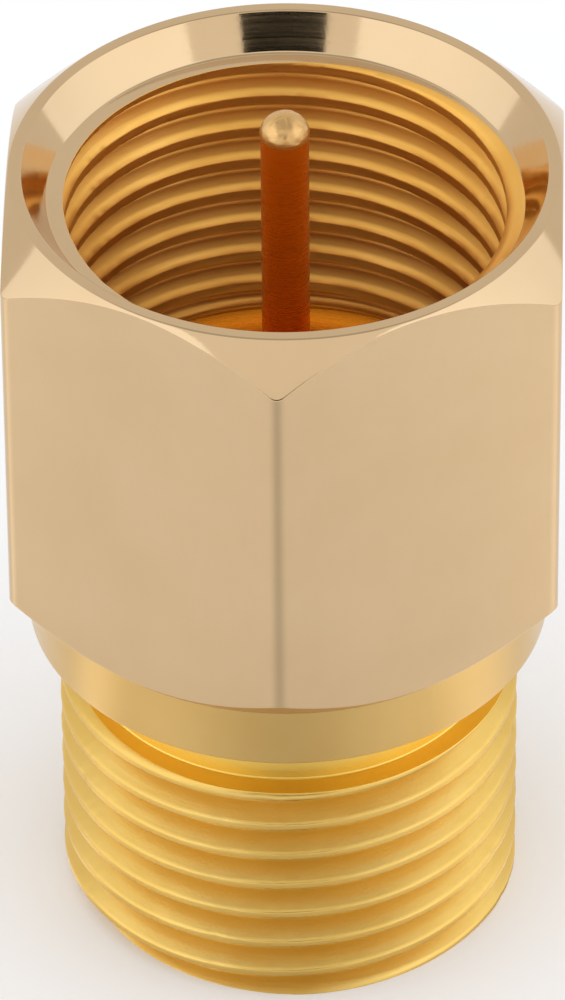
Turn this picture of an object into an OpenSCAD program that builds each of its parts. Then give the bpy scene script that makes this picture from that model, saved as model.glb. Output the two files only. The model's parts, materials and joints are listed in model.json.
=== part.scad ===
// Coaxial F adapter: a screw-on F plug at the top and an F jack at the bottom, in one brass shell.
// The origin is the centre of the jack's end face. +Z runs along the axis, towards the plug's centre pin.
// Two opposite corners of the hexagon lie on the Y axis, so two of its flats face +X and -X.

/* [Shell] */
// Height of the shell from the jack's end face to the plug's rim
shell_height = 17.85; // [17.8:0.05:18.4]
// Wrench size of the hexagon, across its flats
hex_across_flats = 11; // [11:0.1:12]
// Height at which the hexagon's corners start above the jack's end face
hex_corner_bottom = 9.25; // [9:0.05:9.5]
// Slope of the chamfers on the hexagon's corners, measured from the horizontal
hex_chamfer_angle = 45; // [40:1:50]
// Outer radius of the flat rim inside the top chamfer
rim_radius = 5.45; // [5.4:0.01:5.6]
// Radius of the round collar under the hexagon
collar_radius = 5.3; // [5.1:0.05:5.4]
// Height of the collar's lower edge
collar_bottom = 6.85; // [6.8:0.05:7]
// Radius of the groove between the collar and the outer thread
neck_radius = 4.2; // [4.15:0.01:4.2]

/* [Threads] */
// Pitch of both threads, 32 turns to the inch
thread_pitch = 0.79375; // [0.79:0.00125:0.795]
// Crest radius of the jack's outer thread
jack_thread_radius = 4.7; // [4.68:0.01:4.75]
// Height at which the outer thread ends in the neck groove
jack_thread_top = 5.5; // [5.4:0.1:5.8]
// Crest radius of the plug's inner thread
plug_thread_radius = 4.39; // [4.33:0.01:4.43]
// Radius at the bottom of the inner thread's groove
plug_thread_root = 4.79; // [4.78:0.01:4.82]

/* [Plug cavity] */
// Radius of the countersink at the rim
countersink_radius = 5.22; // [5.1:0.01:5.3]
// Radius of the countersink where it meets the ledge above the thread
countersink_foot = 4.72; // [4.6:0.02:4.8]
// Depth of the countersink below the rim
countersink_depth = 0.72; // [0.6:0.02:0.8]
// Height of the cavity's floor
floor_height = 9.6; // [9.5:0.05:9.7]

/* [Contact] */
// Diameter of the centre pin
pin_diameter = 1; // [0.8:0.05:1]
// Length of the pin that stands above the rim
pin_reach = 1.3; // [1.2:0.02:2.5]
// Bore of the socket that takes the mating conductor
socket_bore = 1.1; // [1.05:0.05:1.15]
// Outer diameter of the socket
socket_diameter = 1.9; // [1.85:0.05:2]

/* [Hidden] */
$fn = 96;
// Clearance on the radius between parts that slip together
slip = 0.03;
// Overshoot of a cutter past the face that it cuts
over = 0.5;
// Width of the chamfer that breaks a turned edge
edge_break = 0.1;

// Hexagon and collar
hex_corner_radius = hex_across_flats / 2 / cos(30);
chamfer_slope = tan(hex_chamfer_angle);
chamfer_reach = hex_corner_radius + 1;
collar_top = hex_corner_bottom - (hex_corner_radius - collar_radius) * chamfer_slope;

// Bore of the shell, stepped from the jack's lip up to the retaining ring's seat
lip_radius = 2.7;
lip_thickness = 0.9;
core_radius = 3.3;
seat_height = 8.8;
seat_radius = 3.9;

// Threads: 60 degree flanks with a narrow flat on the crest and at the root
thread_segments = 30;
flank_angle = 30;
root_flat = 0.1;
crest_flat = 0.14;
groove_over = 0.05;
jack_thread_depth = (thread_pitch - crest_flat - root_flat) / 2 / tan(flank_angle);
// Heights at which each groove's middle crosses the +X side
jack_groove_phase = 0.47;
plug_groove_phase = 10.06;
// Relief groove that the inner thread runs out into, above the cavity's floor
relief_radius = 4.9;
relief_height = 0.85;
groove_lead = 0.4;

// Centre contact
pin_radius = pin_diameter / 2;
pin_top = shell_height + pin_reach;
tail_radius = 0.33;
tail_bottom = 8;
dome_height = 0.42;
dome_radius = (pin_radius * pin_radius + dome_height * dome_height) / (2 * dome_height);
dome_steps = 8;
socket_bottom = 1.15;
socket_floor = 7.9;
socket_top = 9.1;
flange_radius = 1.3;
flange_bottom = 7.2;
flange_top = 7.6;
slot_width = 0.2;
slot_length = 3.2;
spring_wall = 0.15;
spring_bottom = 1.95;
spring_height = 1.6;
spring_gap = 0.5;

// Insulators and ring
nose_recess = 0.15;
hole_radius = 0.75;
funnel_radius = 1.35;
funnel_depth = 0.7;
cap_top = 1.9;
guide_wall = 0.6;
guide_top = 4.6;
bead_bottom = 7.9;
boss_radius = 1.8;
boss_top = 9.2;
ring_bore_radius = 2.6;
ring_top = 9.7;

// A solid of revolution about the Z axis, from its [radius, height] points
module turned(points) {
    rotate_extrude() polygon(points);
}

// A point on a helix whose height is z where it crosses the +X side
function helix_point(radius, turns, z) =
    [radius * cos(360 * turns), radius * sin(360 * turns), z + turns * thread_pitch];

// The right-hand helical groove that is cut from a wall of crest_radius down to root_radius.
// Its middle crosses the +X side at the height phase, and runs from z_start to z_end.
module helical_groove(crest_radius, root_radius, phase, z_start, z_end) {
    inward = root_radius < crest_radius;
    open_radius = crest_radius + (inward ? groove_over : -groove_over);
    half_root = root_flat / 2;
    half_open = half_root + abs(root_radius - open_radius) * tan(flank_angle);
    first_turn = (z_start - phase) / thread_pitch;
    stations = ceil((z_end - z_start) / thread_pitch * thread_segments);
    points = [
        for (i = [0:stations])
            let (turns = first_turn + i / thread_segments)
                each [
                    helix_point(open_radius, turns, phase - half_open),
                    helix_point(root_radius, turns, phase - half_root),
                    helix_point(root_radius, turns, phase + half_root),
                    helix_point(open_radius, turns, phase + half_open)
                ]
    ];
    sides = [
        for (i = [0:stations - 1], j = [0:3])
            let (a = 4 * i + j, b = 4 * i + (j + 1) % 4)
                each [[a, b, b + 4], [a, b + 4, a + 4]]
    ];
    last = 4 * stations;
    start_cap = [[0, 2, 1], [0, 3, 2]];
    end_cap = [[last, last + 1, last + 2], [last, last + 2, last + 3]];
    faces = concat(sides, start_cap, end_cap);
    polyhedron(points, inward ? [for (face = faces) [face[2], face[1], face[0]]] : faces);
}

// The hexagon, with its corners chamfered at both ends
module hexagon() {
    reach_fall = (chamfer_reach - rim_radius) * chamfer_slope;
    reach_rise = (chamfer_reach - collar_radius) * chamfer_slope;
    intersection() {
        rotate([0, 0, 90]) cylinder(r = hex_corner_radius, h = shell_height, $fn = 6);
        turned([
            [0, collar_top],
            [collar_radius, collar_top],
            [chamfer_reach, collar_top + reach_rise],
            [chamfer_reach, shell_height - reach_fall],
            [rim_radius, shell_height],
            [0, shell_height]
        ]);
    }
}

// The collar, the neck groove and the barrel that the outer thread is cut on
module barrel() {
    turned([
        [0, 0],
        [jack_thread_radius - edge_break, 0],
        [jack_thread_radius, edge_break],
        [jack_thread_radius, jack_thread_top - edge_break],
        [jack_thread_radius - edge_break, jack_thread_top],
        [neck_radius, jack_thread_top],
        [neck_radius, collar_bottom],
        [collar_radius - edge_break, collar_bottom],
        [collar_radius, collar_bottom + edge_break],
        [collar_radius, collar_top],
        [collar_radius - edge_break, collar_top + edge_break],
        [0, collar_top + edge_break]
    ]);
}

// Everything bored out of the shell along its axis
module shell_bore() {
    relief_cone = relief_radius - plug_thread_radius;
    turned([
        [0, -over],
        [lip_radius, -over],
        [lip_radius, lip_thickness],
        [core_radius, lip_thickness],
        [core_radius, seat_height],
        [seat_radius, seat_height],
        [seat_radius, floor_height],
        [relief_radius, floor_height],
        [relief_radius, floor_height + relief_height],
        [plug_thread_radius, floor_height + relief_height + relief_cone],
        [plug_thread_radius, shell_height - countersink_depth],
        [countersink_foot, shell_height - countersink_depth],
        [countersink_radius, shell_height],
        [countersink_radius, shell_height + over],
        [0, shell_height + over]
    ]);
}

// Brass shell in one piece, turned from hexagonal bar
module shell() {
    color([0.87, 0.70, 0.42])
    difference() {
        union() {
            hexagon();
            barrel();
        }
        shell_bore();
        helical_groove(jack_thread_radius, jack_thread_radius - jack_thread_depth, jack_groove_phase,
                       -thread_pitch, jack_thread_top + 2 * groove_lead);
        helical_groove(plug_thread_radius, plug_thread_root, plug_groove_phase,
                       floor_height + groove_lead, shell_height + groove_lead);
    }
}

// Centre pin: a brass rod with a domed tip, whose thin tail is pressed into the top of the socket
module centre_pin() {
    dome_angle = asin(pin_radius / dome_radius);
    color([0.80, 0.47, 0.18])
    turned([
        [0, tail_bottom],
        [tail_radius, tail_bottom],
        [tail_radius, socket_top],
        [pin_radius, socket_top],
        for (step = [dome_steps:-1:0])
            let (angle = dome_angle * step / dome_steps)
                [dome_radius * sin(angle), pin_top - dome_radius * (1 - cos(angle))]
    ]);
}

// Socket: a tube with a flange, and two crossed slots that make four spring fingers at its mouth
module socket_contact() {
    socket_radius = socket_diameter / 2;
    bore_radius = socket_bore / 2;
    color([0.85, 0.66, 0.35])
    difference() {
        turned([
            [bore_radius + edge_break, socket_bottom],
            [socket_radius - edge_break, socket_bottom],
            [socket_radius, socket_bottom + edge_break],
            [socket_radius, flange_bottom],
            [flange_radius, flange_bottom],
            [flange_radius, flange_top],
            [socket_radius, flange_top],
            [socket_radius, socket_top],
            [tail_radius, socket_top],
            [tail_radius, socket_floor],
            [bore_radius, socket_floor],
            [bore_radius, socket_bottom + edge_break]
        ]);
        for (turn = [0, 90])
            rotate([0, 0, turn])
                translate([-socket_diameter, -slot_width / 2, socket_bottom - over])
                    cube([2 * socket_diameter, slot_width, slot_length + over]);
    }
}

// Spring clip: a split band that squeezes the socket's fingers on the mating conductor
module contact_spring() {
    inner_radius = socket_diameter / 2 + slip / 2;
    color([0.72, 0.73, 0.75])
    difference() {
        translate([0, 0, spring_bottom])
            cylinder(r = inner_radius + spring_wall, h = spring_height);
        translate([0, 0, spring_bottom - over])
            cylinder(r = inner_radius, h = spring_height + 2 * over);
        translate([0, -spring_gap / 2, spring_bottom - over])
            cube([socket_diameter, spring_gap, spring_height + 2 * over]);
    }
}

// Rear insulator: closes the jack's mouth, with a funnel and a hole for the mating conductor
module rear_insulator() {
    pocket_radius = socket_diameter / 2 + slip;
    nose_radius = lip_radius - slip;
    body_radius = core_radius - slip;
    color([0.95, 0.94, 0.90])
    turned([
        [hole_radius, nose_recess + funnel_depth],
        [funnel_radius, nose_recess],
        [nose_radius, nose_recess],
        [nose_radius, lip_thickness],
        [body_radius, lip_thickness],
        [body_radius, guide_top],
        [body_radius - guide_wall, guide_top],
        [body_radius - guide_wall, cap_top],
        [pocket_radius, cap_top],
        [pocket_radius, socket_bottom],
        [hole_radius, socket_bottom]
    ]);
}

// Front insulator: a bead that holds the socket and its pin in the middle of the bore
module front_insulator() {
    hole = socket_diameter / 2 + slip;
    color([0.95, 0.94, 0.90])
    turned([
        [hole, bead_bottom],
        [core_radius - slip, bead_bottom],
        [core_radius - slip, seat_height],
        [boss_radius, seat_height],
        [boss_radius, boss_top],
        [hole, boss_top]
    ]);
}

// Retaining ring: pressed into its seat under the cavity's floor, it locks both insulators and the contact
module retaining_ring() {
    color([0.85, 0.68, 0.40])
    turned([
        [ring_bore_radius, seat_height],
        [seat_radius, seat_height],
        [seat_radius, ring_top - edge_break],
        [seat_radius - edge_break, ring_top],
        [ring_bore_radius + edge_break, ring_top],
        [ring_bore_radius, ring_top - edge_break]
    ]);
}

shell();
centre_pin();
socket_contact();
contact_spring();
rear_insulator();
front_insulator();
retaining_ring();
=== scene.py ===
"""A gold-plated coaxial F adapter on a pale table: its looks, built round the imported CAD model.

Sizes are in millimetres, as in the CAD model, and become metres when a mesh is made. The floor, the
lights, the cards and the camera at the end are in metres.
"""

import json
import math

import bmesh
import bpy
import numpy as np
from mathutils import Matrix, Vector

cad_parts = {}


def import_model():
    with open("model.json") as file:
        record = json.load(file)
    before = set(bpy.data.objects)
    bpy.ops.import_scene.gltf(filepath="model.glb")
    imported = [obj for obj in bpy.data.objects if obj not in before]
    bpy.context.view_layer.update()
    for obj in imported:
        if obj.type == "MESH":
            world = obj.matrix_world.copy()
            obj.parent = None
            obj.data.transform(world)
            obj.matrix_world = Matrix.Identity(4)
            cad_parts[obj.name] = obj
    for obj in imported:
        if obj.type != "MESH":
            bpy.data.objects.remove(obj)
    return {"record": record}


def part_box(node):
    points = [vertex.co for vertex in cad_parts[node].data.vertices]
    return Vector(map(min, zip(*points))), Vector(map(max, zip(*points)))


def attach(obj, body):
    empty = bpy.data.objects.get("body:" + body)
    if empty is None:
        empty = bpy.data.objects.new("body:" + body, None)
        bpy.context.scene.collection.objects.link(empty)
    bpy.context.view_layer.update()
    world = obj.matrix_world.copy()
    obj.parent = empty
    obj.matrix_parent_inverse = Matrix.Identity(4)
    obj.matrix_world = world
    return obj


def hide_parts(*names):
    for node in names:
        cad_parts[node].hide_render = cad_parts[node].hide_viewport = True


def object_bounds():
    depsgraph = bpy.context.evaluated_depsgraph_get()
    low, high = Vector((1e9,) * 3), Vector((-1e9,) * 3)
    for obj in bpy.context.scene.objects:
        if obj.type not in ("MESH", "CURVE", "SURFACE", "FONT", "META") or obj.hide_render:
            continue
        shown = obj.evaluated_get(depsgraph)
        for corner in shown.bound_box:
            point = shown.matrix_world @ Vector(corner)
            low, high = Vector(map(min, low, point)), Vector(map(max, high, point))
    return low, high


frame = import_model()
cad_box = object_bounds()

MM = 0.001
SEED = 20
MOUNTS = {mount["name"]: mount["dims"] for mount in frame["record"]["mounts"]}


def box_mm(node):
    """Lowest and highest corner of a CAD node, in millimetres."""
    low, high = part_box(node)
    return np.array(low) / MM, np.array(high) / MM


# ---------------------------------------------------------------- dimensions, in millimetres

# Shell: what the frame gives
APOTHEM = box_mm("shell")[1][0]
RIM_TOP = box_mm("shell")[1][2]
JACK_CREST = MOUNTS["jack_thread"]["r_mm"]
PLUG_CREST = MOUNTS["plug_thread"]["r_mm"]
# Shell: hexagon and collar
RIM_RADIUS = 5.45
COLLAR_RADIUS = 5.3
COLLAR_TOP = 8.2
COLLAR_BOTTOM = 6.85
NECK_RADIUS = 4.2
# Shell: plug cavity
COUNTERSINK_RADIUS = 5.22
COUNTERSINK_FOOT = 4.72
LEDGE = RIM_TOP - 0.72
RELIEF_RADIUS = 4.9
RELIEF_TOP = 10.45
FLOOR = 9.6
# Shell: bore
SEAT = box_mm("retaining_ring")[0][2]
SEAT_RADIUS = box_mm("retaining_ring")[1][0]
CORE_RADIUS = 3.3
LIP_RADIUS = 2.7
LIP_TOP = 0.9
# Threads. Softness is how much a bend in the profile is rounded.
PITCH = 25.4 / 32
FLANK_SLOPE = 1 / math.tan(math.radians(30))
ROOT_HALF = 0.05
ROOT_SOFTNESS = 0.03
JACK_DEPTH = 0.48
JACK_TOP = 5.5
JACK_BREAK = 0.08
JACK_SOFTNESS = 0.03
JACK_PHASE = 0.47
PLUG_DEPTH = 0.4
PLUG_SOFTNESS = 0.02
PLUG_PHASE = 10.06
# Rows of a thread's mesh: how far each is from the groove's middle, as a share of half a pitch
THREAD_ROWS = (0.12, 0.22, 0.46, 0.72, 0.8, 0.85, 0.91)
# A row this close to the end of the thread's skin joins the end
ROW_REACH = 0.012
# Height of the strip between a thread's skin and the edge next to it. The relief groove has none.
STRIP = 0.05
# How much the top face of the jack's thread rises towards the neck
END_RISE = 0.01
# How far the ledge stays clear of the thread, and how deep in a groove the wear of the crests stops
LEDGE_GAP = 0.005
WORN_DEPTH = 0.1

# Pieces inside
SLIP = 0.03
TAIL_RADIUS = 0.33
SOCKET_RADIUS = 0.95
SOCKET_FLOOR = 7.9
FLANGE_BOTTOM = 7.2
FLANGE_TOP = 7.6
HOLE_RADIUS = 0.75
FUNNEL_RADIUS = 1.35
FUNNEL_DEPTH = 0.7
CAP_TOP = 1.9
GUIDE_WALL = 0.6
SKIRT_FILLET = 0.15
POCKET_FILLET = 0.04
BOSS_RADIUS = 1.8
RING_BORE = 2.6
RING_GAP = 0.004
RING_CHAMFER = 0.1
SLOT_WIDTH = 0.2
SLOT_DEPTH = 3.2
SPLIT_WIDTH = 0.5
# The pin's dome: its height, its nearly flat crown, the overhang round its foot, and how uneven it is
DOME_HEIGHT = 0.5
CROWN = 0.01
OVERHANG = 0.02
OVERHANG_HEIGHT = 0.06
DOME_INSET = 0.006
RIPPLE = (0.001, 0.0035)
# Rows of the dome's mesh: how far each is from the axis, as a share of the pin's radius
DOME_ROWS = (1, 0.99, 0.93, 0.82, 0.68, 0.5, 0.28)

# The hexagon's upright edges
CORNER_RADIUS = 0.3
# How far from a corner of an outline its rounding starts
SHARP = 0
CRISP = 0.01
KEEN = 0.02
FINE = 0.03
EASED = 0.05
FILLET = 0.06
BLUNT = 0.08
BROAD = 0.09
# A rounding takes up at most this share of the shorter side next to it
LONGEST_ROUNDING = 0.45

# Columns of the shell's mesh in each half of a hexagon's corner, and how evenly they are spread
HALF_SECTOR = 24
EVENNESS = 0.1

# The photo's camera, in degrees and metres, with its focal length in millimetres. It looks at a point
# that is given, as the camera sees it, by how far to the right, how far back and how far up it is.
CAMERA_TURN = 1.84
CAMERA_ELEVATION = 39.388
CAMERA_ROLL = -0.469
CAMERA_DISTANCE = 0.19696
CAMERA_AIM = (-0.0001, 0, 0.00936)
FOCAL_LENGTH = 349.6
# What the lights and cards face
HALF_HEIGHT = (cad_box[0].z + cad_box[1].z) / 2


# ---------------------------------------------------------------- mesh helpers


class Skin:
    """Collects one piece's points, in millimetres, and its faces, ring by ring."""

    def __init__(self):
        self.points = []
        self.faces = []
        self.zones = []

    def point(self, x, y, z):
        self.points.append((x, y, z))
        return len(self.points) - 1

    def round_point(self, angle, radius, height):
        """A point at this angle round the axis."""
        return self.point(radius * math.cos(angle), radius * math.sin(angle), height)

    def ring(self, angles, radius, height):
        """A ring of points about the axis. A ring of no radius is one point."""
        radius, height = (np.broadcast_to(value, angles.shape) for value in (radius, height))
        if not np.any(radius):
            return [self.point(0, 0, float(np.mean(height)))]
        return [self.round_point(*place) for place in zip(angles, radius, height)]

    def face(self, corners, zone):
        """A face between these points, which may repeat: it then has fewer corners, or is left out."""
        distinct = list(dict.fromkeys(corners))
        if len(distinct) > 2:
            self.faces.append(distinct)
            self.zones.append(zone)

    def bridge(self, first, second, zone=0):
        """Faces between two rings, of which one may be a single point."""
        count = max(len(first), len(second))
        for i in range(count):
            j = (i + 1) % count
            below = [first[i % len(first)], first[j % len(first)]]
            above = [second[j % len(second)], second[i % len(second)]]
            self.face(below + above, zone)

    def build(self, name, materials):
        """The object, with its faces turned outwards and smooth, and its flat faces left flat."""
        mesh = bpy.data.meshes.new(name)
        mesh.from_pydata([tuple(c * MM for c in p) for p in self.points], [], self.faces)
        for material in materials:
            mesh.materials.append(material)
        mesh.polygons.foreach_set("material_index", self.zones)
        mesh.polygons.foreach_set("use_smooth", [True] * len(self.faces))
        shape = bmesh.new()
        shape.from_mesh(mesh)
        bmesh.ops.recalc_face_normals(shape, faces=shape.faces)
        shape.to_mesh(mesh)
        shape.free()
        piece = added(name, mesh)
        weighted = piece.modifiers.new("flat faces stay flat", "WEIGHTED_NORMAL")
        weighted.weight = 100
        return piece


def added(name, data):
    """A new object with this mesh, light or camera, in the scene."""
    made = bpy.data.objects.new(name, data)
    bpy.context.scene.collection.objects.link(made)
    return made


def soften(corners, steps=4):
    """Rounds the corners of an outline, but not its two ends. Gives (points, corner's number) pairs.

    A corner is (radius, height, rounding), where rounding is how far from the corner the curve starts.
    Radius and height may be arrays, with one value for each column of the mesh.
    """
    points = [np.stack(np.broadcast_arrays(c[0], c[1]), -1).astype(float) for c in corners]
    outline = [(points[0], 0)]
    for number in range(1, len(points) - 1):
        corner, rounding = points[number], corners[number][2]
        if not rounding:
            outline.append((corner, number))
            continue
        back, onward = points[number - 1] - corner, points[number + 1] - corner
        back_length = np.linalg.norm(back, axis=-1, keepdims=True)
        onward_length = np.linalg.norm(onward, axis=-1, keepdims=True)
        reach = np.minimum(rounding, LONGEST_ROUNDING * np.minimum(back_length, onward_length))
        start = corner + back / back_length * reach
        end = corner + onward / onward_length * reach
        for share in np.linspace(0, 1, steps + 1):
            curve = (1 - share) ** 2 * start + 2 * share * (1 - share) * corner + share**2 * end
            outline.append((curve, number))
    outline.append((points[-1], len(points) - 1))
    return outline


def full_turn(columns):
    return np.linspace(0, 2 * math.pi, columns, endpoint=False)


def turned(name, corners, material, columns=128):
    """A turned ring from the corners of its closed outline."""
    middle = [(corners[0][k] + corners[-1][k]) / 2 for k in (0, 1)]
    outline = soften([(*middle, SHARP), *corners, (*middle, SHARP)])
    skin = Skin()
    rings = [skin.ring(full_turn(columns), *points) for points, _ in outline[:-1]]
    for first, second in zip(rings, [*rings[1:], rings[0]]):
        skin.bridge(first, second)
    return skin.build(name, [material])


def smooth_min(a, b, softness):
    """The smaller of a and b, with the bend between them rounded."""
    return 0.5 * (a + b - np.sqrt((a - b) ** 2 + softness**2))


def smooth_max(a, b, softness):
    return -smooth_min(-a, -b, softness)


# ---------------------------------------------------------------- materials

# Noise scales, per millimetre, and how much roughness a smudge adds
GRAIN_SCALE = 14.0
SMUDGE_SCALE = 0.45
SMUDGE_ROUGHNESS = 0.04


def node_tree(name):
    """A new material and its empty node tree."""
    material = bpy.data.materials.new(name)
    material.use_nodes = True
    material.node_tree.nodes.clear()
    return material, material.node_tree


def add(tree, kind, inputs=None, **settings):
    """A node with its settings, and its inputs set to values or linked to sockets."""
    made = tree.nodes.new(kind)
    for key, value in settings.items():
        setattr(made, key, value)
    for key, value in (inputs or {}).items():
        if isinstance(value, bpy.types.NodeSocket):
            tree.links.new(value, made.inputs[key])
        else:
            made.inputs[key].default_value = value
    return made


def position_mm(tree):
    """Where the surface is, in millimetres."""
    place = add(tree, "ShaderNodeTexCoord").outputs["Object"]
    return add(tree, "ShaderNodeVectorMath", {0: place, "Scale": 1 / MM}, operation="SCALE").outputs[0]


def noise(tree, vector, scale, detail=3.0, roughness=0.55):
    inputs = {"Vector": vector, "Scale": scale, "Detail": detail, "Roughness": roughness}
    return add(tree, "ShaderNodeTexNoise", inputs).outputs["Fac"]


def stretch(tree, vector, scale):
    return add(tree, "ShaderNodeVectorMath", {0: vector, 1: scale}, operation="MULTIPLY").outputs[0]


def around_axis(tree, position, scale, drift):
    """Coordinates that change with radius and height and only drift round the axis, for turning marks."""
    flat = stretch(tree, position, (1, 1, 0))
    radius = add(tree, "ShaderNodeVectorMath", {0: flat}, operation="LENGTH").outputs["Value"]
    height = add(tree, "ShaderNodeSeparateXYZ", {0: position}).outputs[2]
    slow = noise(tree, position, drift, 1.0)
    combined = add(tree, "ShaderNodeCombineXYZ", {0: radius, 1: height, 2: slow}).outputs[0]
    return stretch(tree, combined, (scale, scale, 1))


def spread(tree, value, low, high, start=0.3, end=0.7):
    """A noise value's usual range, turned into low to high."""
    inputs = {"Value": value, "From Min": start, "From Max": end, "To Min": low, "To Max": high}
    return add(tree, "ShaderNodeMapRange", inputs).outputs[0]


def faded(tree, value, start, end, first, last):
    """Goes smoothly from first to last while the value goes from start to end."""
    inputs = {"Value": value, "From Min": start, "From Max": end, "To Min": first, "To Max": last}
    return add(tree, "ShaderNodeMapRange", inputs, interpolation_type="SMOOTHSTEP").outputs[0]


def mixed(tree, share, first, second):
    """A colour between two, from the Mix node's own colour sockets."""
    inputs = {0: share, 6: (*first, 1), 7: (*second, 1)}
    return add(tree, "ShaderNodeMix", inputs, data_type="RGBA").outputs[2]


def plus(tree, a, b):
    return add(tree, "ShaderNodeMath", {0: a, 1: b}, operation="ADD").outputs[0]


def times(tree, a, b):
    return add(tree, "ShaderNodeMath", {0: a, 1: b}, operation="MULTIPLY").outputs[0]


def raised(tree, first, first_depth, second, second_depth):
    """The normal of a surface with two patterns of relief, whose depths are in millimetres."""
    relief = plus(tree, times(tree, first, first_depth), times(tree, second, second_depth))
    inputs = {"Height": relief, "Distance": MM, "Strength": 1.0}
    return add(tree, "ShaderNodeBump", inputs).outputs[0]


def finished(tree, kind, inputs):
    """Ends a material's tree with this shader."""
    shader = add(tree, kind, inputs)
    add(tree, "ShaderNodeOutputMaterial", {"Surface": shader.outputs[0]})


def metal(name, light, deep, roughness, marks, mark_depth, grain_depth, anisotropy=0.0):
    """Plated metal, whose colour, roughness and relief follow its machining marks and a fine grain.

    marks makes the coordinates of the marks from the tree and the position. Depths are in millimetres.
    """
    material, tree = node_tree(name)
    position = position_mm(tree)
    lines = noise(tree, marks(tree, position), 1.0, 4.0, 0.6)
    grain = noise(tree, position, GRAIN_SCALE, 2.0)
    smudge = noise(tree, position, SMUDGE_SCALE)
    low, high = roughness
    inputs = {
        "Base Color": mixed(tree, spread(tree, smudge, 0, 1), light, deep),
        "Metallic": 1.0,
        "Roughness": plus(tree, spread(tree, lines, low, high), spread(tree, smudge, 0, SMUDGE_ROUGHNESS)),
        "Normal": raised(tree, lines, mark_depth, grain, grain_depth),
        "Anisotropic": anisotropy,
    }
    if anisotropy:
        inputs["Tangent"] = add(tree, "ShaderNodeTangent", direction_type="RADIAL", axis="Z").outputs[0]
    finished(tree, "ShaderNodeBsdfPrincipled", inputs)
    return material


def turning_marks(tree, position):
    return around_axis(tree, position, 22.0, 0.5)


def fine_turning_marks(tree, position):
    return around_axis(tree, position, 40.0, 0.8)


def drawing_marks(tree, position):
    """Lines along the bar that the hexagon is made from."""
    return stretch(tree, position, (16, 16, 0.5))


def plastic(name, colour, shade):
    """White fluoropolymer: a soft sheen over a slightly translucent body, with faint turning marks."""
    material, tree = node_tree(name)
    position = position_mm(tree)
    lines = noise(tree, turning_marks(tree, position), 1.0)
    mottle = noise(tree, position, 1.2)
    inputs = {
        "Base Color": mixed(tree, spread(tree, mottle, 0, 1), colour, shade),
        "Roughness": spread(tree, lines, 0.42, 0.6),
        "Normal": raised(tree, lines, 0.004, mottle, 0.004),
        "Subsurface Weight": 0.2,
        "Subsurface Scale": 0.3 * MM,
        "IOR": 1.38,
    }
    finished(tree, "ShaderNodeBsdfPrincipled", inputs)
    return material


# A light and a deep colour for each finish. The collar's, the neck's, the threads', the cavity's and the
# pin shaft's colours are more saturated copies of the plating's gold: painted bounced light.
GOLD = (0.655, 0.467, 0.267)
GOLD_DEEP = (0.63, 0.44, 0.245)
# Painted bounced light on the collar: a more saturated copy of the plating's gold
COLLAR_BOUNCE_GOLD = (0.7, 0.46, 0.165)
COLLAR_BOUNCE_DEEP = (0.67, 0.425, 0.14)
# Painted bounced light in the recessed neck: a brighter, more saturated amber copy of the plating's gold
NECK_BOUNCE_GOLD = (0.92, 0.65, 0.16)
NECK_BOUNCE_DEEP = (0.89, 0.61, 0.14)
# Painted bounced light in the outer thread's grooves: a more saturated copy of the plating's gold
THREAD_BOUNCE_GOLD = (0.8, 0.53, 0.15)
THREAD_BOUNCE_DEEP = (0.76, 0.49, 0.12)
# Painted bounced light in the cavity's thread and in the bore: a more saturated orange copy of the
# plating's gold
CAVITY_BOUNCE_GOLD = (0.9, 0.51, 0.12)
CAVITY_BOUNCE_DEEP = (0.84, 0.45, 0.09)
# Painted shade and bounced light on the pin's shaft, deep in the cavity: a darker, more saturated orange
# copy of the plating's gold
PIN_SHAFT_SHADE_GOLD = (0.84, 0.27, 0.02)
PIN_SHAFT_SHADE_DEEP = (0.78, 0.23, 0.015)
TIP = (0.76, 0.48, 0.2)
TIP_DEEP = (0.68, 0.4, 0.15)
CONTACT = (0.76, 0.53, 0.27)
CONTACT_DEEP = (0.7, 0.47, 0.22)
STEEL = (0.6, 0.61, 0.63)
STEEL_DEEP = (0.5, 0.51, 0.54)

# Name, colours, roughness, marks, depth of the marks and of the grain in millimetres, and anisotropy
gold_bar = metal("gold_bar", GOLD, GOLD_DEEP, (0.16, 0.22), drawing_marks, 0.0003, 0.0002)
gold_turned = metal("gold_turned", GOLD, GOLD_DEEP, (0.05, 0.1), turning_marks, 0.0003, 0.0003, 0.1)
gold_collar_painted_bounce = metal("gold_collar_painted_bounce", COLLAR_BOUNCE_GOLD, COLLAR_BOUNCE_DEEP, (0.14, 0.24), turning_marks, 0.0012, 0.0006, 0.2)
gold_neck_painted_bounce = metal("gold_neck_painted_bounce", NECK_BOUNCE_GOLD, NECK_BOUNCE_DEEP, (0.3, 0.42), turning_marks, 0.0012, 0.001)
gold_thread_painted_bounce = metal("gold_thread_painted_bounce", THREAD_BOUNCE_GOLD, THREAD_BOUNCE_DEEP, (0.26, 0.38), fine_turning_marks, 0.001, 0.002)
gold_inner_painted_bounce = metal("gold_inner_painted_bounce", CAVITY_BOUNCE_GOLD, CAVITY_BOUNCE_DEEP, (0.38, 0.5), fine_turning_marks, 0.001, 0.001)
gold_bore_painted_bounce = metal("gold_bore_painted_bounce", CAVITY_BOUNCE_GOLD, CAVITY_BOUNCE_DEEP, (0.18, 0.3), turning_marks, 0.002, 0.001)
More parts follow.
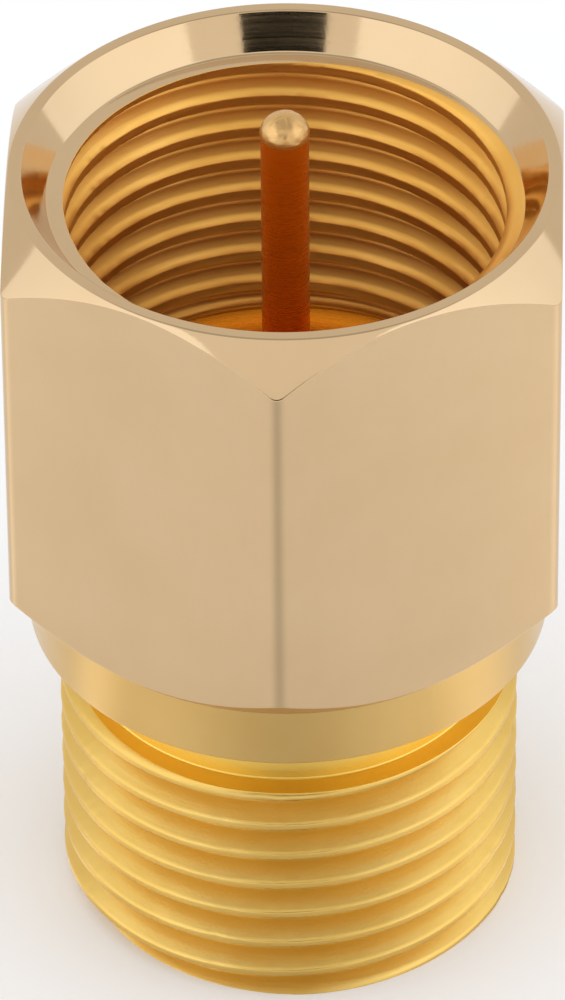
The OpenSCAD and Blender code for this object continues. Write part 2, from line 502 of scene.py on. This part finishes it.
# The pin's shaft finish paints shade and bounced light from the cavity's gold walls
pin_gold = metal("pin_gold", PIN_SHAFT_SHADE_GOLD, PIN_SHAFT_SHADE_DEEP, (0.22, 0.32), turning_marks, 0.001, 0.002)
pin_tip = metal("pin_tip", TIP, TIP_DEEP, (0.26, 0.4), turning_marks, 0.003, 0.004)
contact_gold = metal("contact_gold", CONTACT, CONTACT_DEEP, (0.16, 0.28), fine_turning_marks, 0.0015, 0.001)
spring_steel = metal("spring_steel", STEEL, STEEL_DEEP, (0.22, 0.34), drawing_marks, 0.001, 0.001)
dielectric = plastic("dielectric", (0.9, 0.89, 0.86), (0.82, 0.81, 0.77))


# ---------------------------------------------------------------- the shell


def column_angles():
    """Directions of the shell's columns, closest together at the hexagon's corners."""
    share = np.arange(-HALF_SECTOR, HALF_SECTOR) / HALF_SECTOR
    offset = np.sign(share) * ((1 - EVENNESS) * share**2 + EVENNESS * np.abs(share))
    corners = 30 + 60 * np.arange(6)
    return np.radians(corners[:, None] + 30 * offset[None, :]).ravel()


ANGLES = column_angles()
COLUMNS = len(ANGLES)


def hexagon_radius(angles):
    """How far the hexagon's sides are from the axis, with its upright edges rounded."""
    from_corner = np.radians(np.abs(np.degrees(angles) % 60 - 30))
    centre = (APOTHEM - CORNER_RADIUS) / math.cos(math.radians(30))
    tangent = math.atan2(CORNER_RADIUS / 2, centre + CORNER_RADIUS * math.cos(math.radians(30)))
    flat = APOTHEM / np.cos(math.radians(30) - from_corner)
    inside = np.maximum(CORNER_RADIUS**2 - (centre * np.sin(from_corner)) ** 2, 0)
    corner = centre * np.cos(from_corner) + np.sqrt(inside)
    return np.where(from_corner < tangent, corner, flat)


def groove(phase, angle, height, depth, softness):
    """Depth of a thread's groove at this place. Its middle crosses angle 0 at the height phase."""
    turns = (height - phase) / PITCH - angle / (2 * math.pi)
    from_middle = abs(turns - round(turns)) * PITCH
    flank = depth - (from_middle - ROOT_HALF) * FLANK_SLOPE
    return smooth_min(smooth_max(flank, 0.0, softness), depth, ROOT_SOFTNESS)


class Wear:
    """Small, seeded unevenness along a thread's crest, which a cutting die and handling leave.

    radius is the crest's, and the nicks lie anywhere round it between the heights low and high.
    """

    # Size of each wave, in millimetres, and its number in a turn
    WAVES = ((0.0025, 1.7), (0.002, 5.3), (0.002, 13.0), (0.002, 37.0), (0.002, 61.0))
    NICK_DEPTH = (0.004, 0.02)
    NICK_WIDTH = (0.08, 0.2)

    def __init__(self, seed, radius, low, high, nicks):
        pick = np.random.default_rng(seed).uniform
        turn = (0, 2 * math.pi)
        self.radius = radius
        self.waves = [
            (pick(0.6, 1.4) * size, pick(0.8, 1.25) * pace, pick(*turn)) for size, pace in self.WAVES
        ]
        self.nicks = [
            (pick(low, high), pick(*turn), pick(*self.NICK_DEPTH), pick(*self.NICK_WIDTH))
            for _ in range(nicks)
        ]

    def lowering(self, angle, height):
        """How much material is missing from a crest at this place."""
        turned_angle = angle + 2 * math.pi * height / PITCH
        total = sum(size * math.sin(pace * turned_angle + start) for size, pace, start in self.waves)
        for nick_height, nick_angle, deep, wide in self.nicks:
            if abs(height - nick_height) < 2 * wide:
                across = (angle - nick_angle + math.pi) % (2 * math.pi) - math.pi
                away = math.hypot(across * self.radius, height - nick_height)
                total += deep * math.exp(-((away / wide) ** 2))
        return total


jack_wear = Wear(SEED, JACK_CREST, 0, JACK_TOP, 160)
plug_wear = Wear(SEED + 1, PLUG_CREST, RELIEF_TOP, LEDGE, 50)


def jack_radius(angle, height):
    """Outside of the jack's thread."""
    depth = groove(JACK_PHASE, angle, height, JACK_DEPTH, JACK_SOFTNESS)
    return JACK_CREST - depth - jack_wear.lowering(angle, height) * (depth < WORN_DEPTH)


def plug_radius(angle, height):
    """Inside of the plug's thread, which runs out into the relief groove under it."""
    depth = groove(PLUG_PHASE, angle, height, PLUG_DEPTH, PLUG_SOFTNESS)
    thread = PLUG_CREST + depth + plug_wear.lowering(angle, height) * (depth < WORN_DEPTH)
    relief = RELIEF_RADIUS - (height - RELIEF_TOP)
    return smooth_max(thread, relief, ROOT_SOFTNESS)


def around(radius_at, height):
    """The radius at this height in each of the shell's columns."""
    return np.array([radius_at(angle, height) for angle in ANGLES])


def thread_band(skin, rings, heights, phase, radius_at, zone):
    """The skin of a thread between two rings. Its rows climb one pitch in a turn, as the thread does."""
    low_ring, high_ring = rings
    low, high = heights
    offsets = sorted(share * PITCH / 2 for share in (0, *THREAD_ROWS, 1, *(-s for s in THREAD_ROWS)))
    rows = len(offsets)
    first = phase + PITCH * (math.floor((low - phase) / PITCH) - 2)
    turns = math.ceil((high - first) / PITCH) + 1
    made = {}

    def corner(column, row):
        if column == COLUMNS:
            column, row = 0, row + rows
        angle = ANGLES[column]
        height = first + PITCH * (row // rows) + offsets[row % rows] + PITCH * angle / (2 * math.pi)
        if height < low + ROW_REACH:
            return low_ring[column]
        if height > high - ROW_REACH:
            return high_ring[column]
        if (column, row) not in made:
            made[column, row] = skin.round_point(angle, radius_at(angle, height), height)
        return made[column, row]

    for column in range(COLUMNS):
        for row in range(turns * rows):
            below = [corner(column, row), corner(column + 1, row)]
            above = [corner(column + 1, row + 1), corner(column, row + 1)]
            skin.face(below + above, zone)


# The shell's finishes, in the order of its materials
BAR, TURNED, COLLAR, NECK, JACK_THREAD, PLUG_THREAD, BORE = range(7)


def chain(skin, angles, corners):
    """Rings along an outline, each joined to the one before. Gives the first and the last ring.

    A corner is (radius, height, rounding, zone), where zone is the finish of what follows the corner.
    """
    rings = []
    zone = None
    for points, number in soften(corners):
        points = np.broadcast_to(points, (len(angles), 2))
        rings.append(skin.ring(angles, points[:, 0], points[:, 1]))
        if len(rings) > 1:
            skin.bridge(rings[-2], rings[-1], zone)
        zone = corners[number][3]
    return rings[0], rings[-1]


def shell():
    """The brass shell in one skin: outside upwards, over the rim, down the cavity and the bore."""
    skin = Skin()
    side = hexagon_radius(ANGLES)
    low_edge = COLLAR_TOP + side - COLLAR_RADIUS
    high_edge = RIM_TOP - (side - RIM_RADIUS)
    jack_edge = JACK_TOP - JACK_BREAK
    broken_edge = JACK_CREST - JACK_BREAK
    jack_ends = (JACK_BREAK + STRIP, jack_edge - STRIP)
    plug_ends = (RELIEF_TOP, LEDGE - STRIP)
    plug_top = around(plug_radius, LEDGE)
    ledge = np.maximum(plug_top, COUNTERSINK_FOOT) + LEDGE_GAP
    outside = [
        (around(jack_radius, jack_ends[1]), jack_ends[1], SHARP, JACK_THREAD),
        (around(jack_radius, jack_edge), jack_edge, SHARP, JACK_THREAD),
        (np.minimum(around(jack_radius, JACK_TOP), broken_edge), JACK_TOP, KEEN, NECK),
        (NECK_RADIUS, JACK_TOP + END_RISE, FILLET, NECK),
        (NECK_RADIUS, COLLAR_BOTTOM, FILLET, NECK),
        (COLLAR_RADIUS, COLLAR_BOTTOM, BROAD, COLLAR),
        (COLLAR_RADIUS, COLLAR_TOP, FINE, COLLAR),
        (side, low_edge, FINE, BAR),
        (side, high_edge, FINE, TURNED),
        (RIM_RADIUS, RIM_TOP, FINE, TURNED),
        (COUNTERSINK_RADIUS, RIM_TOP, FINE, TURNED),
        (ledge, LEDGE, EASED, TURNED),
        (plug_top, LEDGE, CRISP, PLUG_THREAD),
        (around(plug_radius, plug_ends[1]), plug_ends[1], SHARP, PLUG_THREAD),
    ]
    inside = [
        (around(plug_radius, plug_ends[0]), plug_ends[0], SHARP, BORE),
        (RELIEF_RADIUS, FLOOR, BLUNT, BORE),
        (SEAT_RADIUS, FLOOR, FINE, BORE),
        (SEAT_RADIUS, SEAT, KEEN, BORE),
        (CORE_RADIUS, SEAT, FINE, BORE),
        (CORE_RADIUS, LIP_TOP, FINE, BORE),
        (LIP_RADIUS, LIP_TOP, FINE, BORE),
        (LIP_RADIUS, 0, FINE, COLLAR),
        (np.minimum(around(jack_radius, 0), broken_edge), 0, KEEN, JACK_THREAD),
        (around(jack_radius, JACK_BREAK), JACK_BREAK, SHARP, JACK_THREAD),
        (around(jack_radius, jack_ends[0]), jack_ends[0], SHARP, JACK_THREAD),
    ]
    jack_high_ring, plug_high_ring = chain(skin, ANGLES, outside)
    plug_low_ring, jack_low_ring = chain(skin, ANGLES, inside)
    plug_rings = (plug_low_ring, plug_high_ring)
    jack_rings = (jack_low_ring, jack_high_ring)
    thread_band(skin, plug_rings, plug_ends, PLUG_PHASE, plug_radius, PLUG_THREAD)
    thread_band(skin, jack_rings, jack_ends, JACK_PHASE, jack_radius, JACK_THREAD)
    finishes = [gold_bar, gold_turned, gold_collar_painted_bounce, gold_neck_painted_bounce, gold_thread_painted_bounce, gold_inner_painted_bounce, gold_bore_painted_bounce]
    return skin.build("shell_turned", finishes)


# ---------------------------------------------------------------- the pieces inside


def centre_pin():
    """A rod with a slightly mushroomed, rough-turned dome, and a thin tail that sits in the socket."""
    low, high = box_mm("centre_pin")
    radius, bottom, top = high[0], low[2], high[2]
    shoulder = box_mm("socket_contact")[1][2]
    neck = top - DOME_HEIGHT
    foot = neck + OVERHANG_HEIGHT
    shaft, tip = 0, 1
    rod = [
        (0, bottom, SHARP, shaft),
        (TAIL_RADIUS, bottom, FINE, shaft),
        (TAIL_RADIUS, shoulder, KEEN, shaft),
        (radius - OVERHANG, shoulder, FINE, shaft),
        (radius - OVERHANG, neck, CRISP, tip),
    ]
    angles = full_turn(96)
    pick = np.random.default_rng(SEED + 2).uniform
    dome = []
    for share in DOME_ROWS:
        ripple = sum(
            pick(*RIPPLE) * np.sin(lobes * angles + pick(0, 2 * math.pi)) for lobes in (2, 3, 5, 9, 14)
        )
        rise = math.sqrt(1 - share**2) * (top - CROWN - foot)
        dome.append((radius * share - DOME_INSET + ripple * share, foot + rise + ripple, FINE, tip))
    skin = Skin()
    chain(skin, angles, [*rod, *dome, (0, top, SHARP, tip)])
    return skin.build("centre_pin_turned", [pin_gold, pin_tip])


def retaining_ring():
    """A plain brass ring with broken edges."""
    low, high = box_mm("retaining_ring")
    outer = high[0] - RING_GAP
    corners = [
        (RING_BORE, low[2], FINE),
        (outer, low[2], EASED),
        (outer, high[2], RING_CHAMFER),
        (RING_BORE, high[2], RING_CHAMFER),
    ]
    return turned("retaining_ring_turned", corners, gold_turned)


def front_insulator():
    """The bead that centres the socket, with its boss."""
    low, high = box_mm("front_insulator")
    hole = SOCKET_RADIUS + SLIP
    corners = [
        (hole, low[2], EASED),
        (high[0], low[2], BLUNT),
        (high[0], SEAT, BLUNT),
        (BOSS_RADIUS, SEAT, EASED),
        (BOSS_RADIUS, high[2], BLUNT),
        (hole, high[2], FILLET),
    ]
    return turned("front_insulator_turned", corners, dielectric)


def rear_insulator():
    """The cap that closes the jack's mouth, with its funnel and the skirt that holds the bead off."""
    low, high = box_mm("rear_insulator")
    body = high[0]
    nose = LIP_RADIUS - SLIP
    pocket = SOCKET_RADIUS + SLIP
    pocket_floor = box_mm("socket_contact")[0][2]
    corners = [
        (HOLE_RADIUS, low[2] + FUNNEL_DEPTH, BLUNT),
        (FUNNEL_RADIUS, low[2], BLUNT),
        (nose, low[2], BLUNT),
        (nose, LIP_TOP, KEEN),
        (body, LIP_TOP, FILLET),
        (body, high[2], BLUNT),
        (body - GUIDE_WALL, high[2], BLUNT),
        (body - GUIDE_WALL, CAP_TOP, SKIRT_FILLET),
        (pocket, CAP_TOP, FILLET),
        (pocket, pocket_floor, POCKET_FILLET),
        (HOLE_RADIUS, pocket_floor, FINE),
    ]
    return turned("rear_insulator_moulded", corners, dielectric)


def block(name, low, high, turn):
    """A box between two corners, turned about the axis by so many degrees."""
    shape = bmesh.new()
    bmesh.ops.create_cube(shape, size=1)
    low, high = Vector(low) * MM, Vector(high) * MM
    place = Matrix.Rotation(math.radians(turn), 4, "Z") @ Matrix.Translation((low + high) / 2)
    size = Matrix.Diagonal((*(high - low), 1))
    bmesh.ops.transform(shape, matrix=place @ size, verts=shape.verts)
    mesh = bpy.data.meshes.new(name)
    shape.to_mesh(mesh)
    shape.free()
    return added(name, mesh)


def slotted(piece, low, high, turns):
    """Cuts the space between two corners out of a piece, once for each turn, and keeps edges crisp."""
    piece.modifiers.clear()
    cutters = [block("slot", low, high, turn) for turn in turns]
    for cutter in cutters:
        cut = piece.modifiers.new("slot", "BOOLEAN")
        cut.object = cutter
        cut.solver = "EXACT"
    bpy.context.view_layer.update()
    evaluated = piece.evaluated_get(bpy.context.evaluated_depsgraph_get())
    cut_mesh = bpy.data.meshes.new_from_object(evaluated)
    piece.modifiers.clear()
    piece.data = cut_mesh
    for cutter in cutters:
        bpy.data.objects.remove(cutter)
    cut_mesh.set_sharp_from_angle(angle=math.radians(40))
    return piece


def socket_contact():
    """The tube with its flange, and four fingers at its mouth."""
    low, high = box_mm("socket_contact")
    flange = high[0]
    bore = MOUNTS["jack_socket"]["r_mm"]
    corners = [
        (bore, low[2], BROAD),
        (SOCKET_RADIUS, low[2], BROAD),
        (SOCKET_RADIUS, FLANGE_BOTTOM, FINE),
        (flange, FLANGE_BOTTOM, EASED),
        (flange, FLANGE_TOP, EASED),
        (SOCKET_RADIUS, FLANGE_TOP, FINE),
        (SOCKET_RADIUS, high[2], FILLET),
        (TAIL_RADIUS, high[2], FINE),
        (TAIL_RADIUS, SOCKET_FLOOR, KEEN),
        (bore, SOCKET_FLOOR, EASED),
    ]
    piece = turned("socket_contact_turned", corners, contact_gold, columns=96)
    past = 2 * SOCKET_RADIUS
    slot_low = (-past, -SLOT_WIDTH / 2, low[2] - past)
    slot_high = (past, SLOT_WIDTH / 2, low[2] + SLOT_DEPTH)
    return slotted(piece, slot_low, slot_high, (0, 90))


def contact_spring():
    """The split band round the fingers."""
    low, high = box_mm("contact_spring")
    inner = SOCKET_RADIUS + SLIP / 2
    outer = high[1]
    corners = [
        (inner, low[2], FINE),
        (outer, low[2], EASED),
        (outer, high[2], EASED),
        (inner, high[2], FINE),
    ]
    piece = turned("contact_spring_band", corners, spring_steel, columns=96)
    past = 2 * outer
    split_low = (0, -SPLIT_WIDTH / 2, low[2] - past)
    split_high = (past, SPLIT_WIDTH / 2, high[2] + past)
    return slotted(piece, split_low, split_high, (0,))


# What makes each CAD node's looks, and the record's material slot for it, which nothing here reads
PIECES = {
    "shell": (shell, "gold_plated_brass"),
    "centre_pin": (centre_pin, "pin_gold"),
    "socket_contact": (socket_contact, "contact_gold"),
    "contact_spring": (contact_spring, "spring_steel"),
    "rear_insulator": (rear_insulator, "dielectric"),
    "front_insulator": (front_insulator, "dielectric"),
    "retaining_ring": (retaining_ring, "gold_plated_brass"),
}
for node, (make, slot) in PIECES.items():
    piece = make()
    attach(piece, "root")
    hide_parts(node)


# ---------------------------------------------------------------- floor, light and camera


COOL_WHITE = (0.88, 1.02, 1.25)
# In metres
TABLE_HALF = 1.5
BOX_DISTANCE = 0.6
TABLE_CARD_NEAR = 0.0047
TABLE_CARD_FAR = 0.06
TABLE_CARD_HEIGHT = 0.0001
# Faces across the fan of a table card
TABLE_CARD_STEPS = 8
# Where the room's front ends and its back starts, on a scale from -1 in front to 1 behind
ROOM_FRONT = -0.4
ROOM_BACK = 0.6


def rectangle(name, width, height, material):
    """A flat rectangle, facing upwards until it is turned."""
    w, h = width / 2, height / 2
    mesh = bpy.data.meshes.new(name)
    mesh.from_pydata([(-w, -h, 0), (w, -h, 0), (w, h, 0), (-w, h, 0)], [], [(0, 1, 2, 3)])
    mesh.materials.append(material)
    return mesh


def floor():
    """A wide, pale, faintly uneven table top."""
    material, tree = node_tree("table_top")
    mottle = noise(tree, position_mm(tree), 0.05)
    inputs = {
        "Base Color": mixed(tree, spread(tree, mottle, 0, 1), (0.95, 0.95, 0.95), (0.94, 0.94, 0.94)),
        "Roughness": 0.6,
        "Specular IOR Level": 0.2,
    }
    finished(tree, "ShaderNodeBsdfPrincipled", inputs)
    added("floor", rectangle("floor", 2 * TABLE_HALF, 2 * TABLE_HALF, material))


def direction(azimuth, elevation):
    """Away from the object. Azimuth 0 is in front, towards the camera, and 90 is to the right."""
    a, e = math.radians(azimuth + CAMERA_TURN), math.radians(elevation)
    return Vector((math.sin(a) * math.cos(e), -math.cos(a) * math.cos(e), math.sin(e)))


def aim_at_object(made, azimuth, elevation, distance):
    """Moves a lamp or a card to this side of the object, facing it."""
    away = direction(azimuth, elevation)
    made.location = Vector((0, 0, HALF_HEIGHT)) + away * distance
    made.rotation_euler = away.to_track_quat("Z", "Y").to_euler()


def softbox(name, azimuth, elevation, width, height, radiance):
    """A rectangular soft light that faces the object, out of the camera's sight."""
    light = bpy.data.lights.new(name, "AREA")
    light.shape = "RECTANGLE"
    light.size = width
    light.size_y = height
    light.energy = radiance * math.pi * width * height
    light.color = COOL_WHITE
    lamp = added(name, light)
    aim_at_object(lamp, azimuth, elevation, BOX_DISTANCE)
    lamp.visible_camera = False


def reflected_only(name, mesh):
    """A stage object that throws no shadow and no light, and shows only in reflections."""
    board = added(name, mesh)
    board.visible_camera = False
    board.visible_shadow = False
    board.visible_diffuse = False
    return board


def card(name, azimuth, elevation, width, height, distance, radiance):
    """A plain rectangular card that only reflections see: a painted reflection, since it gives no light and
    no shadow.
    """
    material, tree = node_tree(name)
    finished(tree, "ShaderNodeEmission", {"Color": (1, 1, 1, 1), "Strength": radiance})
    board = reflected_only(name, rectangle(name, width, height, material))
    aim_at_object(board, azimuth, elevation, distance)


def table_card(name, azimuth, half_spread, radiance, strength):
    """A fan-shaped card on the table that only reflections see, clear at its two sides: a painted
    reflection, which is a painted shadow when the card is dark and a painted glint when it is bright.
    """
    limit = math.radians(half_spread)
    edges = np.linspace(-limit, limit, TABLE_CARD_STEPS + 1)
    rims = (TABLE_CARD_NEAR, TABLE_CARD_FAR)
    points = [(r * math.sin(a), -r * math.cos(a), TABLE_CARD_HEIGHT) for r in rims for a in edges]
    faces = [(i, i + len(edges), i + len(edges) + 1, i + 1) for i in range(TABLE_CARD_STEPS)]
    mesh = bpy.data.meshes.new(name)
    mesh.from_pydata(points, [], faces)
    material, tree = node_tree(name)
    mesh.materials.append(material)
    place = add(tree, "ShaderNodeSeparateXYZ", {0: add(tree, "ShaderNodeTexCoord").outputs["Object"]})
    forward = times(tree, place.outputs[1], -1.0)
    turn = add(tree, "ShaderNodeMath", {0: place.outputs[0], 1: forward}, operation="ARCTAN2").outputs[0]
    off_centre = add(tree, "ShaderNodeMath", {0: turn}, operation="ABSOLUTE").outputs[0]
    share = faded(tree, off_centre, 0.0, limit, strength, 0.0)
    clear = add(tree, "ShaderNodeBsdfTransparent").outputs[0]
    glow = add(tree, "ShaderNodeEmission", {"Strength": radiance}).outputs[0]
    finished(tree, "ShaderNodeMixShader", {0: share, 1: clear, 2: glow})
    board = reflected_only(name, mesh)
    board.rotation_euler = (0, 0, math.radians(azimuth + CAMERA_TURN))


def world(front, back):
    """A pale room, whose back wall is a little darker than its front."""
    room = bpy.data.worlds.new("room")
    room.use_nodes = True
    tree = room.node_tree
    towards = add(tree, "ShaderNodeTexCoord").outputs["Generated"]
    depth = add(tree, "ShaderNodeSeparateXYZ", {0: towards}).outputs[1]
    background = tree.nodes["Background"]
    background.inputs["Color"].default_value = (1, 1, 1, 1)
    strength = faded(tree, depth, ROOM_FRONT, ROOM_BACK, front, back)
    tree.links.new(strength, background.inputs["Strength"])
    bpy.context.scene.world = room


def camera():
    """The long lens that looks down on the object's front corner."""
    data = bpy.data.cameras.new("camera")
    data.sensor_width = 36
    data.lens = FOCAL_LENGTH
    data.clip_start = 0.01
    data.clip_end = 10
    made = added("camera", data)
    away = direction(0, CAMERA_ELEVATION)
    aim = Matrix.Rotation(math.radians(CAMERA_TURN), 3, "Z") @ Vector(CAMERA_AIM)
    made.location = aim + away * CAMERA_DISTANCE
    roll = Matrix.Rotation(math.radians(CAMERA_ROLL), 4, "Z")
    made.rotation_euler = (away.to_track_quat("Z", "Y").to_matrix().to_4x4() @ roll).to_euler()
    bpy.context.scene.camera = made


floor()
world(front=1.06, back=0.86)
# Name, azimuth, elevation, width, height and radiance, which adds to the room's
softbox("left_box", -77, 30, 0.8, 0.5, 0.44)
softbox("right_box", 84, 30, 0.76, 0.5, 0.48)
# Name, azimuth, elevation, width, height, distance and radiance
# Painted reflection of the camera: a near-black card in its place that only reflections see
card("painted_camera_reflection", 0, 31, 0.11, 0.09, 0.2, 0.01)
# Painted reflection of a dimmer room overhead: a grey card straight above that only reflections see
card("painted_ceiling_reflection", 0, 90, 0.3, 0.3, 0.3, 0.58)
# Name, azimuth, half of its spread, radiance, and how solid its middle is
# Painted shadow on the table in front, which only reflections see: a dark, partly clear fan
table_card("painted_table_shadow", 0, 55, 0.02, 0.32)
# Painted glints: bright fans on the table at the left and the right, which glow only in reflections, for
# the threads' bright streaks and the lighter right-hand flats
table_card("painted_table_glint_left", -79, 18, 2.0, 0.3)
table_card("painted_table_glint_right", 76, 30, 2.0, 0.3)
camera()

bpy.context.scene.view_settings.view_transform = "Standard"
